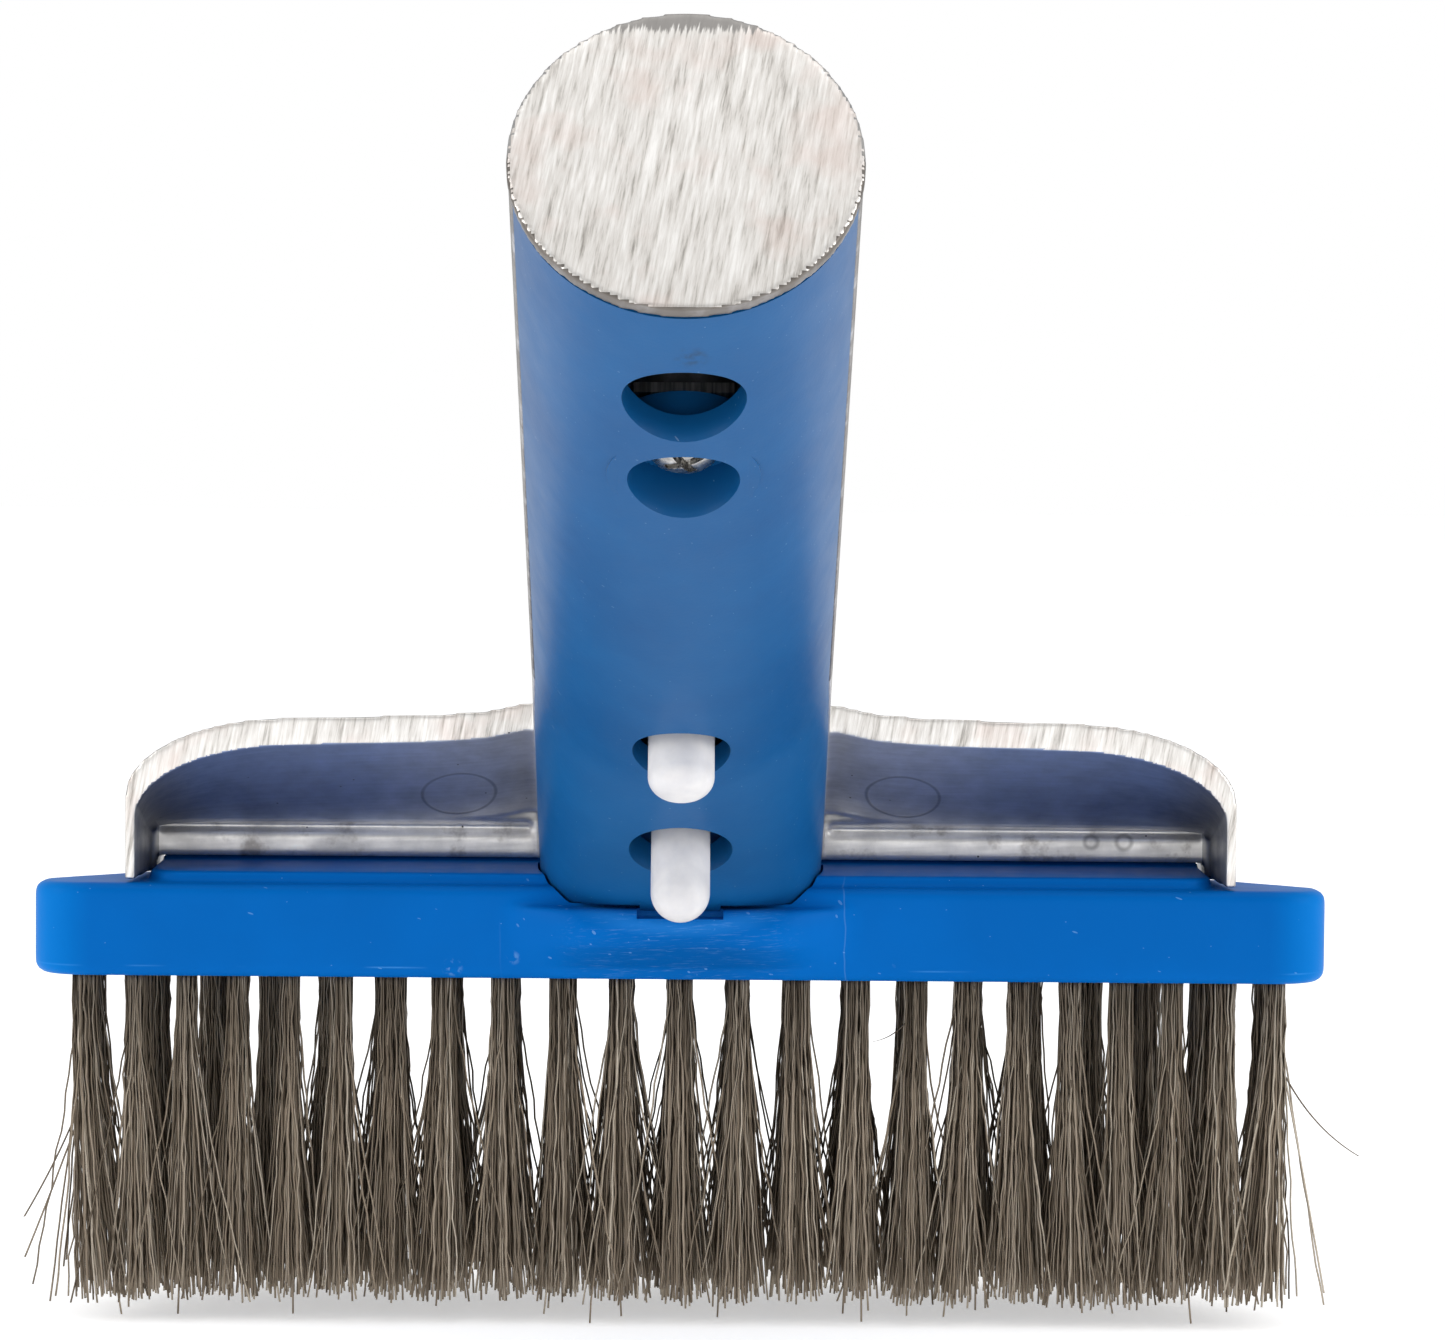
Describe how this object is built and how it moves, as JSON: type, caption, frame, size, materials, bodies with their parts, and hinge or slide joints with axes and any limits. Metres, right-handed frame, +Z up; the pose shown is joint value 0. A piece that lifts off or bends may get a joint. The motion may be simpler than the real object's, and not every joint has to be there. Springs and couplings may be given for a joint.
{
  "type": "pool wall brush",
  "caption": "Wall brush with stainless wire tufts in a plastic block, a cast aluminium back and a round pole handle with a sprung lock pin and release button.",
  "frame": {"origin": "under the middle of the whole brush, on the plane of the bristle tips", "axes": "+X along the block, +Y towards its back, +Z up; the bristles point down and the handle leans to the front, -Y"},
  "size_m": [0.127, 0.123, 0.119],
  "materials": {
    "blue_block": "moulded ABS, satin",
    "blue_cover": "moulded nylon, satin with a fine grain",
    "cast_aluminium": "as cast, with ground edges and a ground end face",
    "stainless_steel": "bright stainless steel",
    "white_nylon": "moulded natural nylon, satin",
    "stainless_wire": "drawn stainless wire"
  },
  "bodies": {
    "brush": {"brush_block": "blue_block", "handle_cover": "blue_cover", "aluminium_back": "cast_aluminium", "leaf_root": "stainless_steel", "cover_screw": "stainless_steel", "block_screw_left_inner": "stainless_steel", "block_screw_left_outer": "stainless_steel", "block_screw_right_inner": "stainless_steel", "block_screw_right_outer": "stainless_steel", "bristle_column_01": "stainless_wire", "bristle_column_02": "stainless_wire", "bristle_column_03": "stainless_wire", "bristle_column_04": "stainless_wire", "bristle_column_05": "stainless_wire", "bristle_column_06": "stainless_wire", "bristle_column_07": "stainless_wire", "bristle_column_08": "stainless_wire", "bristle_column_09": "stainless_wire", "bristle_column_10": "stainless_wire", "bristle_column_11": "stainless_wire", "bristle_column_12": "stainless_wire", "bristle_column_13": "stainless_wire", "bristle_column_14": "stainless_wire", "bristle_column_15": "stainless_wire", "bristle_column_16": "stainless_wire", "bristle_column_17": "stainless_wire", "bristle_column_18": "stainless_wire", "bristle_column_19": "stainless_wire", "bristle_column_20": "stainless_wire", "bristle_column_21": "stainless_wire", "bristle_column_22": "stainless_wire", "bristle_column_23": "stainless_wire"},
    "clip": {"spring_leaf": "stainless_steel", "lock_pin": "white_nylon", "release_button": "white_nylon"}
  },
  "joints": [
    {"name": "clip_press", "type": "hinge", "parent": "brush", "child": "clip", "pos_m": [0, -0.03056, 0.08319], "axis": [1, 0, 0], "range_deg": [0, 5.2], "stiffness_Nm_per_rad": 3, "springref_deg": -2.86}
  ]
}
